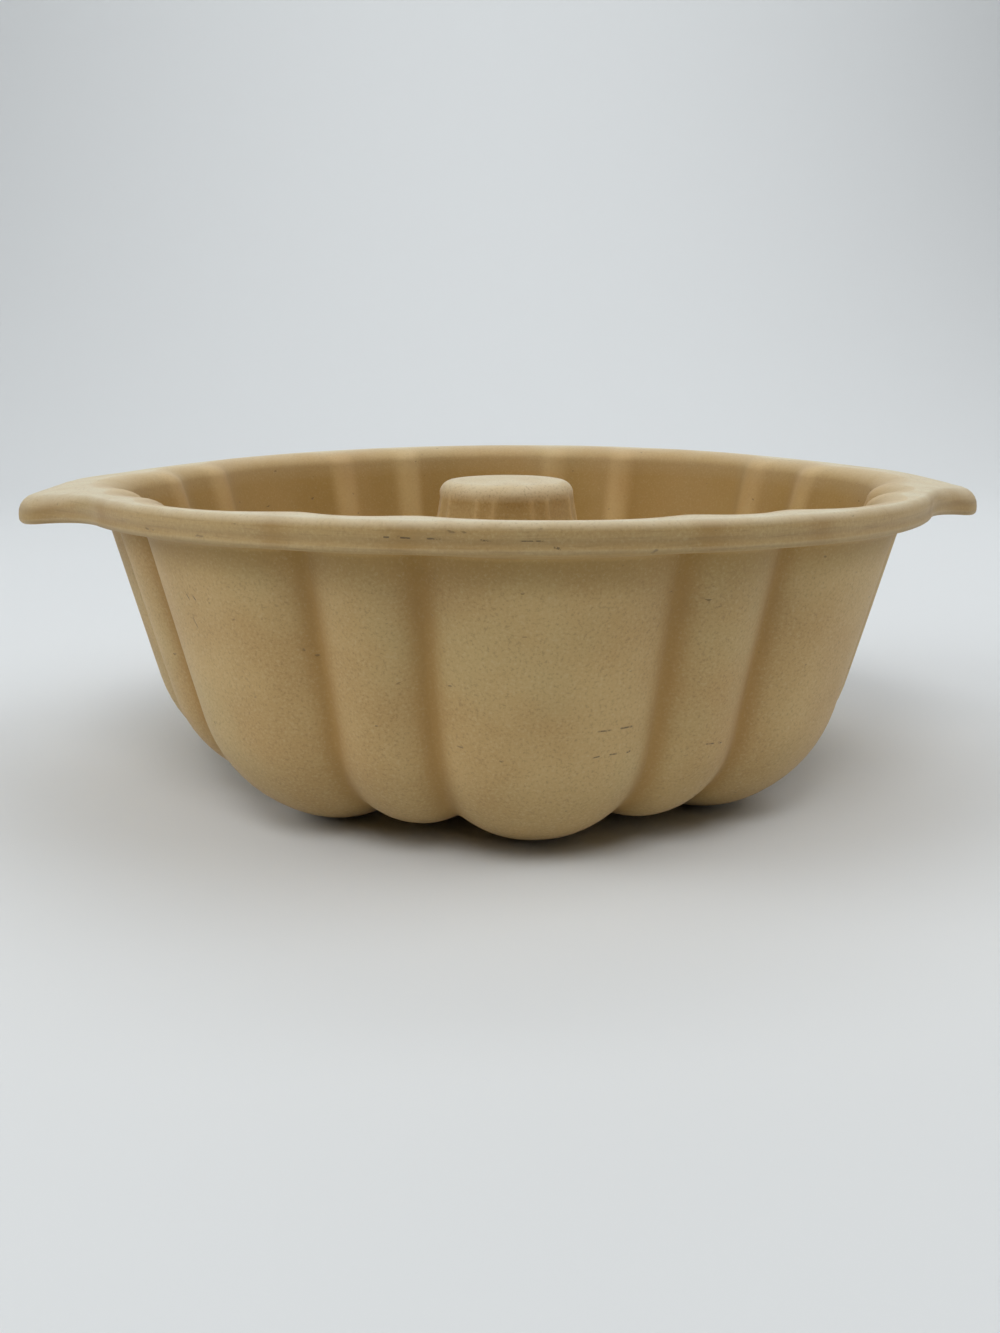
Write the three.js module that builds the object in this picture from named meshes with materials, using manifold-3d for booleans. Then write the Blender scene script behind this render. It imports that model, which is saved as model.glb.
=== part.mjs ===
// Fluted tube pan, press-moulded in unglazed stoneware. Millimetres, +Z up.
// It stands on z = 0 about the Z axis, with a wide flute at the front (-Y) and a handle at each end of X.
import * as THREE from 'three';
import { mergeVertices } from 'three/addons/utils/BufferGeometryUtils.js';
import Module from 'manifold-3d';

const { clamp, degToRad, euclideanModulo, lerp } = THREE.MathUtils;

// Body: a round trough with a sloping wall
const rimTop = 95.4; // floor to the top of the rim
const wallThickness = 8;
const bodyRadius = 127.3; // wide flutes, just under the rim
const wallDraft = degToRad(14); // slope of the wall from upright
const footRound = 42.5; // outside radius where the wall turns under
const footFlat = 0.7; // depth by which the wide flutes are flattened where they stand
const tubeFootRound = 26; // inside radius where the trough turns up into the tube

// Flutes: wide ones, with a narrow one between each two
const fluteCount = 8;
const wideShare = 0.34; // half of a wide flute on the wall, as a share of one repeat
const footWideShare = 0.313; // the same under the trough
const wideFullness = 2.8; // a higher power gives a flatter crest
const footWideFullness = 2.2;
const narrowFullness = 2;
const fluteDepth = 7.7; // crest to groove, across the wall
const footFluteDepth = 7; // crest to groove, under the trough
const narrowInset = 3; // narrow crests behind the wide ones, on the wall
const narrowFootLift = 3.5; // narrow crests above the wide ones, under the trough
const narrowLiftStart = 47; // height below which the flutes change toward the foot
const narrowLiftCurve = 1.5;
const grooveRound = 0.72; // softness of the outside grooves, as a share of their depth
const ridgeRound = 1.2; // softness of the ridges inside, as a share of their depth

// Centre tube: closed on top, open underneath
const tubeDrop = 2; // top of the tube below the top of the rim
const tubeRadius = 20; // where its side would meet its top
const tubeTaper = degToRad(11);
const tubeShoulder = 4.5;
const tubeFluteDepth = 1;
const tubeFluteStop = 5; // the flutes end this far below the top
const tubeFluteFade = 4; // and fade out over this length

// Rim: a rolled edge, highest beside its outer rounding
const rimThickness = 8;
const rimOverhang = 4.7; // past the wide flutes
const rimInnerWidth = 8.5; // oval rounding toward the trough
const rimInnerHeight = 5.5;
const rimOuterRound = 2.2;
const rimLowerRound = 2.4;
const rimDroop = 2; // lower at the handles than at the front
const rimLedge = 0.3; // level strip beside the wall, as a share of the underside
const lipLand = 0.5; // least height of the inner face below its rounding
const edgeLand = 0.2; // least height of the outer face between its roundings

// Handles: flat tabs
const handleLength = 16.8; // past the rim
const handleWidth = 78;
const handleCorner = 20;
const handleRoot = 60; // hollow curve between the corner and the rim
const handleSeat = 4; // depth of the rim that belongs to the handle
const handleFall = 1.2; // its top falls this much toward the tip
const handleUnderFall = 1.9; // its underside falls this much
const handleTopRound = 6; // rounding over the tip

// Steps on curves
const wideSteps = 4;
const narrowSteps = 3;
const tubeWideSteps = 3;
const tubeNarrowSteps = 1;
const footSteps = 5;
const tubeFootSteps = 4;
const shoulderSteps = 3;
const rimSteps = 3;
const cornerSteps = 5;
const rootSteps = 4;
const leastStep = degToRad(0.1); // between columns round the axis
const columnCrowding = 1.3; // a lower power crowds the columns toward the grooves

// Levels and radii that follow from these
const repeat = 2 * Math.PI / fluteCount;
const rimUnder = rimTop - rimThickness;
const rimRadius = bodyRadius + rimOverhang;
const lipHeight = Math.min(rimInnerHeight, rimThickness - rimDroop - lipLand);
const handleReach = rimRadius + handleLength;
const tubeTop = rimTop - tubeDrop;
const troughLevel = wallThickness - footFlat;

const outerRadius = (z) => bodyRadius - (rimUnder - z) * Math.tan(wallDraft);
const innerRadius = (z) => outerRadius(z) - wallThickness / Math.cos(wallDraft);
const tubeRadiusAt = (z) => tubeRadius + (tubeTop - z) * Math.tan(tubeTaper);
const hollowRadiusAt = (z) => tubeRadiusAt(z) - wallThickness / Math.cos(tubeTaper);

// Centre of the foot's curve, which touches the wall and the level of the floor
const footZ = footRound - footFlat;
const footR = outerRadius(footZ - footRound * Math.sin(wallDraft)) - footRound * Math.cos(wallDraft);

// Centre of the tube's own foot curve, limited by the width of the trough
const tubeSpread = 1 / Math.cos(tubeTaper) - Math.tan(tubeTaper);
const tubeRound = Math.min(tubeFootRound, (footR - tubeRadiusAt(troughLevel)) / tubeSpread);
const tubeFootZ = troughLevel + tubeRound;
const tubeFootR = tubeRadiusAt(tubeFootZ) + tubeRound / Math.cos(tubeTaper);

// Level at which the trough's curves have ended and the straight wall and tube begin
const splitMargin = 1;
const splitLevel = splitMargin + Math.max(
  footZ - (footRound - wallThickness) * Math.sin(wallDraft),
  tubeFootZ - tubeRound * Math.sin(tubeTaper),
);

const stoneware = { color: '#bda578', roughness: 0.92, metalness: 0 };

function smoothMin(a, b, width) {
  const near = Math.max(width - Math.abs(a - b), 0) / width;
  return Math.min(a, b) - near ** 3 * width / 6;
}

// Share of the flute depth that is drawn in at an angle: 0 on a wide crest and about 1 in a groove.
// A low of 0 is on the wall and 1 is under the trough.
function drawnIn(angle, low, softness) {
  const away = Math.abs(euclideanModulo(angle + repeat / 2, repeat) - repeat / 2);
  const toNarrowCrest = Math.max(repeat / 2 - away, 0);
  const wideHalf = repeat * lerp(wideShare, footWideShare, low);
  const fullness = lerp(wideFullness, footWideFullness, low);
  const narrowCrest = lerp(narrowInset / fluteDepth, narrowFootLift / footFluteDepth, low);
  const wide = (away / wideHalf) ** fullness;
  const narrow = lerp(narrowCrest, 1, (toNarrowCrest / (repeat / 2 - wideHalf)) ** narrowFullness);
  return smoothMin(wide, narrow, softness);
}

// Angles of the columns round the axis, closer together toward the grooves
function columnAngles(wideCount, narrowCount) {
  const side = [];
  const wideHalf = wideShare * repeat;
  const narrowHalf = repeat / 2 - wideHalf;
  for (let step = 1; step < wideCount; step++) {
    side.push(wideHalf * Math.sin(step / wideCount * Math.PI / 2) ** columnCrowding);
  }
  for (let step = 0; step < narrowCount; step++) {
    side.push(wideHalf + narrowHalf * step / narrowCount);
  }
  const offsets = [...side.map((angle) => -angle).reverse(), 0, ...side, repeat / 2];
  const angles = [];
  for (let flute = 0; flute < fluteCount; flute++) {
    angles.push(...offsets.map((offset) => flute * repeat + offset));
  }
  return angles;
}

// Point of a row at an angle. A row has its radius and height on a wide crest,
// and the heading, depth and softness of its flutes in the plane of radius and height.
function placeRow(row, angle) {
  const depth = row.depth * drawnIn(angle, row.low, row.softness);
  const r = row.r + Math.cos(row.heading) * depth;
  const z = Math.max(row.z + Math.sin(row.heading) * depth, 0);
  return new THREE.Vector3(r * Math.sin(angle), -r * Math.cos(angle), z);
}

// Row of the fluted body, with the flute depth that belongs to a height on the outside
function bodyRow(r, z, heading, softness, outsideZ) {
  const low = clamp(1 - outsideZ / narrowLiftStart, 0, 1) ** narrowLiftCurve;
  return { r, z, heading, softness, low, depth: lerp(fluteDepth, footFluteDepth, low) };
}

const outsideRow = (z) => bodyRow(outerRadius(z), z, Math.PI, grooveRound, z);
const insideRow = (z) => bodyRow(innerRadius(z), z, Math.PI, ridgeRound, z);

// Plain row, with no flutes
const plainRow = (r, z) => ({ r, z, heading: 0, softness: ridgeRound, low: 0, depth: 0 });

const tubeRow = (z, depth) => ({ r: tubeRadiusAt(z), z, heading: 0, softness: ridgeRound, low: 0, depth });

// Rows of the curve at the foot of the wall, from the wall to the floor
function footRows(radius, softness) {
  const rows = [];
  for (let step = 0; step <= footSteps; step++) {
    const share = step / footSteps;
    const slope = lerp(wallDraft, Math.PI / 2, share);
    const r = footR + radius * Math.cos(slope);
    const z = footZ - radius * Math.sin(slope);
    const outsideZ = footZ - footRound * Math.sin(slope);
    rows.push(bodyRow(r, z, Math.PI - share * Math.PI / 2, softness, outsideZ));
  }
  return rows;
}

// Rows of the curve at the foot of the tube, from the floor to the tube
function tubeFootRows(radius, softness, endDepth) {
  const rows = [];
  for (let step = 0; step <= tubeFootSteps; step++) {
    const share = step / tubeFootSteps;
    const slope = lerp(Math.PI / 2, tubeTaper, share);
    const r = tubeFootR - radius * Math.cos(slope);
    const z = tubeFootZ - radius * Math.sin(slope);
    const heading = (1 - share) * Math.PI / 2;
    rows.push({ r, z, heading, softness, low: 1 - share, depth: lerp(footFluteDepth, endDepth, share) });
  }
  return rows;
}

// Closed skin over sections that stand round the axis. A ring's sections are loops,
// and a capped skin's sections start and end on the axis.
function loft(sections, capped) {
  const count = sections[0].length;
  const strips = capped ? count - 1 : count;
  const indices = [];
  for (let column = 0; column < sections.length; column++) {
    const here = column * count;
    const beside = (column + 1) % sections.length * count;
    for (let strip = 0; strip < strips; strip++) {
      const next = (strip + 1) % count;
      if (!capped || strip > 0) {
        indices.push(here + strip, here + next, beside + strip);
      }
      if (!capped || strip < strips - 1) {
        indices.push(here + next, beside + next, beside + strip);
      }
    }
  }
  const geometry = new THREE.BufferGeometry().setFromPoints(sections.flat());
  geometry.setIndex(indices);
  return geometry;
}

function sweep(rows, angles, capped = false) {
  return loft(angles.map((angle) => rows.map((row) => placeRow(row, angle))), capped);
}

const bodyAngles = columnAngles(wideSteps, narrowSteps);
const tubeAngles = columnAngles(tubeWideSteps, tubeNarrowSteps);

// Sloping wall from the trough's curve to the rim, with rows where the narrow crests draw in
function flutedWall() {
  const liftEnd = clamp(narrowLiftStart, splitLevel, rimUnder);
  const liftMiddle = (splitLevel + liftEnd) / 2;
  const levels = [...new Set([rimUnder, liftEnd, liftMiddle, splitLevel])];
  const outside = levels.map(outsideRow);
  const inside = levels.map(insideRow).reverse();
  return sweep([...outside, ...inside], bodyAngles);
}

// Round floor of the trough, which stands on the wide flutes
function troughFloor() {
  const outside = [outsideRow(splitLevel), ...footRows(footRound, grooveRound)];
  const under = tubeFootRows(tubeRound + wallThickness, grooveRound, 0);
  const hollow = plainRow(hollowRadiusAt(splitLevel), splitLevel);
  const tubeSide = tubeFootRows(tubeRound, ridgeRound, tubeFluteDepth).reverse();
  const inside = [...footRows(footRound - wallThickness, ridgeRound).reverse(), insideRow(splitLevel)];
  const rows = [...outside, ...under, hollow, tubeRow(splitLevel, tubeFluteDepth), ...tubeSide, ...inside];
  return sweep(rows, bodyAngles);
}

// Tapered tube with a rounded shoulder and a hollow beneath
function centerTube() {
  const shoulderZ = tubeTop - tubeShoulder;
  const shoulderR = tubeRadiusAt(shoulderZ) - tubeShoulder / Math.cos(tubeTaper);
  const rows = [plainRow(0, tubeTop)];
  for (let step = shoulderSteps; step >= 0; step--) {
    const slope = lerp(tubeTaper, Math.PI / 2, step / shoulderSteps);
    const r = shoulderR + tubeShoulder * Math.cos(slope);
    rows.push(plainRow(r, shoulderZ + tubeShoulder * Math.sin(slope)));
  }
  const fluteEnd = tubeTop - Math.max(tubeFluteStop, tubeShoulder);
  rows.push(tubeRow(fluteEnd, 0));
  rows.push(tubeRow(fluteEnd - tubeFluteFade, tubeFluteDepth));
  rows.push(tubeRow(splitLevel, tubeFluteDepth));
  rows.push(plainRow(hollowRadiusAt(splitLevel), splitLevel));
  const hollowTop = tubeTop - wallThickness;
  rows.push(plainRow(hollowRadiusAt(hollowTop), hollowTop));
  rows.push(plainRow(0, hollowTop));
  return sweep(rows, tubeAngles, true);
}

// Half of one handle's outline in plan, from the middle of its tip to the rim's circle, as points with
// their outward directions: a rounded corner, then a hollow curve that touches the corner and the rim
function handleEdge() {
  const corner = Math.min(handleCorner, handleWidth / 2);
  const cornerMiddle = new THREE.Vector2(handleReach - corner, handleWidth / 2 - corner);
  const apart = cornerMiddle.length();
  const toRoot = rimRadius + handleRoot;
  const lean = Math.acos((toRoot ** 2 + apart ** 2 - (corner + handleRoot) ** 2) / (2 * toRoot * apart));
  const rootEnd = cornerMiddle.angle() + lean;
  const rootMiddle = new THREE.Vector2(toRoot, 0).rotateAround(new THREE.Vector2(), rootEnd);
  const meet = rootMiddle.clone().sub(cornerMiddle).angle();
  const edge = [];
  const addSpot = (middle, angle, reach) => {
    const out = new THREE.Vector2(Math.cos(angle), Math.sin(angle));
    edge.push({ point: middle.clone().addScaledVector(out, reach), out });
  };
  for (let step = 0; step <= cornerSteps; step++) {
    addSpot(cornerMiddle, lerp(0, meet, step / cornerSteps), corner);
  }
  for (let step = 1; step <= rootSteps; step++) {
    addSpot(rootMiddle, lerp(meet, rootEnd, step / rootSteps), -handleRoot);
  }
  return edge;
}

// Spot where the line from the axis at an angle crosses the outline between two of its spots
function spotBetween(before, after, angle) {
  const ray = new THREE.Vector2(Math.sin(angle), -Math.cos(angle));
  const span = after.point.clone().sub(before.point);
  const share = -ray.cross(before.point) / ray.cross(span);
  return {
    point: before.point.clone().addScaledVector(span, share),
    out: before.out.clone().lerp(after.out, share).normalize(),
  };
}

const inOrder = (a, b) => a.angle - b.angle;
const withAngle = ({ point, out }) => ({ point, out, angle: Math.atan2(point.x, -point.y) });

// Outline of the rim and its handles in plan, in order round the axis, with a spot at every body column
function rimOutline() {
  const edge = handleEdge();
  const handles = [1, -1].map((end) => {
    const across = [1, -1].flatMap((half) => edge.map(({ point, out }) => ({
      point: new THREE.Vector2(end * point.x, half * point.y),
      out: new THREE.Vector2(end * out.x, half * out.y),
    })));
    return across.map(withAngle).sort(inOrder);
  });
  const outline = handles.flat();
  for (const bodyAngle of bodyAngles) {
    const angle = euclideanModulo(bodyAngle + Math.PI, 2 * Math.PI) - Math.PI;
    const out = new THREE.Vector2(Math.sin(angle), -Math.cos(angle));
    const handle = handles.find((spots) => spots[0].angle < angle && angle < spots[spots.length - 1].angle);
    const after = handle && handle.findIndex((spot) => spot.angle > angle);
    outline.push(withAngle(handle
      ? spotBetween(handle[after - 1], handle[after], angle)
      : { point: out.clone().multiplyScalar(rimRadius), out }));
  }
  outline.sort(inOrder);
  return outline.filter((spot, index) => index === 0 || spot.angle - outline[index - 1].angle > leastStep);
}

// How far along a handle a place in plan is: 0 on the rim and 1 at the tip
const alongHandle = (point) => clamp((point.length() - rimRadius) / handleLength, 0, 1);

// Height that the rim and handles lose at a place in plan
const rimDrop = (point, fall) => rimDroop * (point.x / rimRadius) ** 2 + fall * alongHandle(point);

// Section of the rim at one place of its outline: over the top, down the edge and back under
function rimSection({ point, out, angle }) {
  const section = [];
  const fromAxis = new THREE.Vector2(Math.sin(angle), -Math.cos(angle));
  const lipZ = rimTop - lipHeight;
  const lip = placeRow(insideRow(lipZ), angle);
  const lipRadius = Math.hypot(lip.x, lip.y);
  const addTop = (radius, z) => {
    const place = fromAxis.clone().multiplyScalar(radius);
    section.push(new THREE.Vector3(place.x, place.y, z - rimDrop(place, handleFall)));
  };
  for (let step = 0; step <= rimSteps; step++) {
    const slope = step / rimSteps * Math.PI / 2;
    addTop(lipRadius + rimInnerWidth * (1 - Math.cos(slope)), lipZ + lipHeight * Math.sin(slope));
  }
  addTop((lipRadius + rimInnerWidth + rimRadius - rimOuterRound) / 2, rimTop);

  const edgeTop = rimTop - rimDrop(point, handleFall);
  const edgeUnder = rimUnder - rimDrop(point, handleUnderFall);
  const upperRound = lerp(rimOuterRound, handleTopRound, alongHandle(point));
  const fit = Math.min(1, (edgeTop - edgeUnder - edgeLand) / (upperRound + rimLowerRound));
  const addEdge = (inset, z) => {
    const place = point.clone().addScaledVector(out, -inset);
    section.push(new THREE.Vector3(place.x, place.y, z));
  };
  for (let step = rimSteps; step >= 0; step--) {
    const slope = step / rimSteps * Math.PI / 2;
    const round = fit * upperRound;
    addEdge(round * (1 - Math.cos(slope)), edgeTop - round * (1 - Math.sin(slope)));
  }
  for (let step = 0; step <= rimSteps; step++) {
    const slope = step / rimSteps * Math.PI / 2;
    const round = fit * rimLowerRound;
    addEdge(round * (1 - Math.cos(slope)), edgeUnder + round * (1 - Math.sin(slope)));
  }

  const wallEdge = placeRow(outsideRow(rimUnder), angle);
  const ledge = section[section.length - 1].clone().lerp(wallEdge, 1 - rimLedge).setZ(rimUnder);
  section.push(ledge, wallEdge, placeRow(insideRow(rimUnder), angle));
  return section;
}

const wasm = await Module();
wasm.setup();

function toSolid(geometry) {
  const shape = geometry.clone();
  shape.deleteAttribute('normal');
  shape.deleteAttribute('uv');
  const merged = mergeVertices(shape);
  return new wasm.Manifold(new wasm.Mesh({
    numProp: 3,
    vertProperties: new Float32Array(merged.attributes.position.array),
    triVerts: new Uint32Array(merged.index.array),
  }));
}

function toGeometry(solid) {
  const { vertProperties, triVerts } = solid.getMesh();
  const geometry = new THREE.BufferGeometry();
  geometry.setAttribute('position', new THREE.BufferAttribute(vertProperties, 3));
  geometry.setIndex(new THREE.BufferAttribute(triVerts, 1));
  return geometry;
}

// Block that takes in one handle, from the plane where it meets the rim
function handleBlock(side) {
  const join = rimRadius - handleSeat;
  const depth = 2 * handleLength + handleSeat;
  const block = new THREE.BoxGeometry(depth, 2 * handleReach, 2 * rimTop);
  block.translate(side * (join + depth / 2), 0, rimTop);
  return toSolid(block);
}

// Rim and handles are one rolled edge, parted at a flat plane across the root of each handle
function rimAndHandles() {
  const edge = toSolid(loft(rimOutline().map(rimSection), false));
  const left = handleBlock(-1);
  const right = handleBlock(1);
  return {
    rim: toGeometry(edge.subtract(left).subtract(right)),
    left_handle: toGeometry(edge.intersect(left)),
    right_handle: toGeometry(edge.intersect(right)),
  };
}

const pieces = {
  fluted_wall: flutedWall(),
  trough_floor: troughFloor(),
  center_tube: centerTube(),
  ...rimAndHandles(),
};

const pan = new THREE.Group();
for (const [name, geometry] of Object.entries(pieces)) {
  geometry.computeVertexNormals();
  const mesh = new THREE.Mesh(geometry, new THREE.MeshStandardMaterial(stoneware));
  mesh.name = name;
  pan.add(mesh);
}

export default pan;
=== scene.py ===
import math

import bpy
import numpy as np
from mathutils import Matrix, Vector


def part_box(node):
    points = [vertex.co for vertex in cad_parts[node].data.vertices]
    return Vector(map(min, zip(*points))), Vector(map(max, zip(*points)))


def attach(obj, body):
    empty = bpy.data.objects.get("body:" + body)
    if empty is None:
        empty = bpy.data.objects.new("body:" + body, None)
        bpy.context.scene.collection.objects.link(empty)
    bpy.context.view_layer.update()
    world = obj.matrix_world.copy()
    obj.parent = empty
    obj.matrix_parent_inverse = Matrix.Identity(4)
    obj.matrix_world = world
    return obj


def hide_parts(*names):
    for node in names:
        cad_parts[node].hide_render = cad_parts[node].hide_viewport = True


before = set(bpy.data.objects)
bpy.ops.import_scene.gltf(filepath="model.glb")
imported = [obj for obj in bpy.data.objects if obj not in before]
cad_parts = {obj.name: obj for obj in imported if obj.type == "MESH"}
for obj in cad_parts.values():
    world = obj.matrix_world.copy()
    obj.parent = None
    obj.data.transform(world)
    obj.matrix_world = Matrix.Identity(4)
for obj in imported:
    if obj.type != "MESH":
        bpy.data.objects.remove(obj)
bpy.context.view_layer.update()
print("frame loaded with", len(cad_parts), "solids")

mm = 0.001
warpRoom = 0.15   # millimetres left above the rim, for its warp

# Levels and reaches that the solids already hold, in millimetres
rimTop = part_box("rim")[1].z / mm - warpRoom
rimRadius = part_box("rim")[1].y / mm
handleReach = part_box("right_handle")[1].x / mm
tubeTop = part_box("center_tube")[1].z / mm

fluteSizes = {
    "count": 8,              # wide flutes, with a narrow one between each two
    "wideShare": 0.34,       # half of a wide flute, as a share of one repeat
    "footWideShare": 0.313,
    "wideFullness": 2.8,     # a higher power gives a flatter crest
    "footWideFullness": 2.2,
    "narrowFullness": 2.1,
    "depth": 7.7,            # crest to groove, across the wall
    "footDepth": 7.0,        # crest to groove, under the trough
    "narrowInset": 3.0,      # narrow crests behind the wide ones, on the wall
    "narrowFootLift": 3.5,   # narrow crests above the wide ones, under the trough
    "liftStart": 47.0,       # height below which the narrow crests draw in
    "liftCurve": 1.5,
    "grooveRound": 0.46,     # softness of the outside grooves, as a share of their depth
    "ridgeRound": 1.2,       # softness of the ridges inside
}
repeat = 2 * math.pi / fluteSizes["count"]
wideHalf = fluteSizes["wideShare"] * repeat

columnSpacing = {
    "count": 570,
    "trials": 20,            # places tried for each column
    "grooveGain": 1.5,       # extra columns in a groove
    "grooveReach": 2.4,      # degrees either side of it
    "handleGain": 3.0,       # extra columns round a handle's corner
    "handleCorner": 12.0,    # degrees from the handle's middle
    "cornerReach": 4.0,      # degrees either side of it
}


# Columns stand closer in the grooves and round the handles' corners
def columnAngles():
    fine = np.linspace(-math.pi, math.pi, columnSpacing["trials"] * columnSpacing["count"] + 1)
    away = np.abs((fine + repeat / 2) % repeat - repeat / 2)
    toGroove = np.degrees(np.abs(away - wideHalf))
    toHandle = np.degrees(np.abs(np.abs(fine) - math.pi / 2))
    density = 1 + columnSpacing["grooveGain"] * np.exp(-((toGroove / columnSpacing["grooveReach"]) ** 2))
    toCorner = (toHandle - columnSpacing["handleCorner"]) / columnSpacing["cornerReach"]
    density += columnSpacing["handleGain"] * np.exp(-(toCorner ** 2))
    share = np.concatenate([[0], np.cumsum((density[1:] + density[:-1]) / 2)])
    return np.interp(np.arange(columnSpacing["count"]) / columnSpacing["count"], share / share[-1], fine)


around = columnAngles()
outX, outY = np.sin(around), -np.cos(around)   # away from the axis; angle 0 faces the front, -Y


def between(a, b, share):
    return a + (b - a) * share


def easeBoth(share):
    share = np.clip(share, 0, 1)
    return share * share * (3 - 2 * share)


plainRow = {
    "heading": 0.0,          # way that the flutes are pressed: 0 outward, pi inward, half of pi upward
    "depth": 0.0,            # how far, in millimetres
    "low": 0.0,              # 0 on the wall, 1 under the trough
    "soft": 0.5,             # how softly two flutes meet
    "rubbed": 0.0,           # worn pale, and painted sheen and highlight where it faces the light
    "baked": 0.0,            # baked brown
    "outside": 0.0,          # 1 on the outside
    "gap": 9.0,              # millimetres above the mould's parting line
}


# A row is one ring of the blank
def addRow(rows, x, y, z, **marks):
    row = {"x": x, "y": y, "z": z, **plainRow, **marks}
    rows.append({key: value + np.zeros_like(around) for key, value in row.items()})


def addRing(rows, r, z, **marks):
    addRow(rows, r * outX, r * outY, z, **marks)


# Depth of the flutes at a height, and how far they have turned under
def fluteAt(level):
    low = np.clip(1 - level / fluteSizes["liftStart"], 0, 1) ** fluteSizes["liftCurve"]
    return {"depth": between(fluteSizes["depth"], fluteSizes["footDepth"], low), "low": low}


bodySizes = {
    "wall": 8.0,
    "radius": 127.3,         # wide flutes, just under the rim
    "draft": 14.0,           # degrees from upright
    "footRound": 42.5,
    "footFlat": 0.7,         # depth by which the wide flutes are flattened where they stand
    "tubeFootRound": 26.0,
    "rimThickness": 8.0,
    "baked": {"tubeFoot": 0.9, "floor": 1.0, "wall": 0.9},   # inside the trough
    "rows": {"wall": 15, "foot": 16, "tubeFoot": 13, "under": 11},
}
draft = math.radians(bodySizes["draft"])
rimUnder = rimTop - bodySizes["rimThickness"]


def outerRadius(z):
    return bodySizes["radius"] - (rimUnder - z) * math.tan(draft)


def innerRadius(z):
    return outerRadius(z) - bodySizes["wall"] / math.cos(draft)


tubeSizes = {
    "radius": 20.0,          # panels, where the side would meet the top
    "taper": 11.0,           # degrees from upright
    "shoulder": 4.5,
    "dome": 0.9,             # middle of the top above its edge
    "panelDepth": 1.0,
    "panelStop": 4.2,        # the panels end this far below the top
    "panelFade": 5.0,
    "hollowRound": 4.0,
    # how pale the top and shoulder are: wear, and painted sheen where they face the light
    "topWornAndLit": 0.82,
    "shoulderWornAndLit": 0.3,      # where the shoulder ends
    "sideBaked": 0.45,
    "rowCrowding": 1.3,      # rows of the side gather toward its top
    "rows": {"top": 5, "shoulder": 9, "side": 13, "hollow": 5, "hollowTop": 4},
}
taper = math.radians(tubeSizes["taper"])


def tubeRadiusAt(z):
    return tubeSizes["radius"] + (tubeTop - z) * math.tan(taper)


# Curves at the foot of the wall and at the foot of the tube, which meet on the floor of the trough
footZ = bodySizes["footRound"] - bodySizes["footFlat"]
wallEnd = footZ - bodySizes["footRound"] * math.sin(draft)
footR = outerRadius(wallEnd) - bodySizes["footRound"] * math.cos(draft)
troughLevel = bodySizes["wall"] - bodySizes["footFlat"]
tubeSpread = 1 / math.cos(taper) - math.tan(taper)
tubeRound = min(bodySizes["tubeFootRound"], (footR - tubeRadiusAt(troughLevel)) / tubeSpread)
tubeFootZ = troughLevel + tubeRound
tubeFootR = tubeRadiusAt(tubeFootZ) + tubeRound / math.cos(taper)


# Domed top, shoulder and panelled side of the tube
def tubeRows(rows):
    dome, shoulder, depth = tubeSizes["dome"], tubeSizes["shoulder"], tubeSizes["panelDepth"]
    ridge = depth                                   # the shoulder is flush with the tube's own ridges
    shoulderZ = tubeTop - dome - shoulder
    shoulderR = tubeRadiusAt(shoulderZ) + ridge - shoulder / math.cos(taper)
    tilt = 2 * dome / shoulderR                     # slope of the dome where the shoulder begins
    edge = shoulderR + shoulder * math.sin(tilt)
    # the top and shoulder are tinted pale: wear, and painted sheen
    for step in range(1, tubeSizes["rows"]["top"] + 1):
        r = edge * step / (tubeSizes["rows"]["top"] + 1)
        addRing(rows, r, tubeTop - dome * (r / shoulderR) ** 2, rubbed=tubeSizes["topWornAndLit"])
    for share in np.linspace(0, 1, tubeSizes["rows"]["shoulder"]):
        slope = between(math.pi / 2 - tilt, taper, share)
        r, z = shoulderR + shoulder * math.cos(slope), shoulderZ + shoulder * math.sin(slope)
        addRing(rows, r, z, rubbed=between(tubeSizes["topWornAndLit"], tubeSizes["shoulderWornAndLit"], share))
    low = tubeFootZ - tubeRound * math.sin(taper)
    top = shoulderZ + shoulder * math.sin(taper)
    for share in np.linspace(0, 1, tubeSizes["rows"]["side"] + 2)[1:-1]:
        z = between(top, low, share ** tubeSizes["rowCrowding"])
        pressed = depth * easeBoth((tubeTop - tubeSizes["panelStop"] - z) / tubeSizes["panelFade"])
        r = tubeRadiusAt(z) + ridge - pressed
        addRing(rows, r, z, depth=pressed, baked=tubeSizes["sideBaked"])


# Curve between the floor and the tube, as seen inside the trough or from underneath
def tubeFootRows(rows, radius, soft, endDepth, count, upward, **marks):
    steps = np.linspace(0, 1, count)
    for share in (steps if upward else steps[::-1]):
        slope = between(math.pi / 2, taper, share)
        depth = between(fluteSizes["footDepth"], endDepth, share)
        r, z = tubeFootR - radius * math.cos(slope), tubeFootZ - radius * math.sin(slope)
        heading = (1 - share) * math.pi / 2
        addRing(rows, r, z, heading=heading, depth=depth, low=1 - share, soft=soft, **marks)


# Curve between the wall and the floor
def footRows(rows, radius, soft, count, upward, **marks):
    steps = np.linspace(0, 1, count)
    for share in (steps[::-1] if upward else steps):
        slope = between(draft, math.pi / 2, share)
        level = footZ - bodySizes["footRound"] * math.sin(slope)
        r, z = footR + radius * math.cos(slope), footZ - radius * math.sin(slope)
        addRing(rows, r, z, heading=math.pi - share * math.pi / 2, soft=soft, **fluteAt(level), **marks)


def wallRows(rows, radiusAt, low, high, soft, upward, **marks):
    levels = np.linspace(low, high, bodySizes["rows"]["wall"] + 2)[1:-1]
    for z in (levels if upward else levels[::-1]):
        addRing(rows, radiusAt(z), z, heading=math.pi, soft=soft, **fluteAt(z), **marks)


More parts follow.
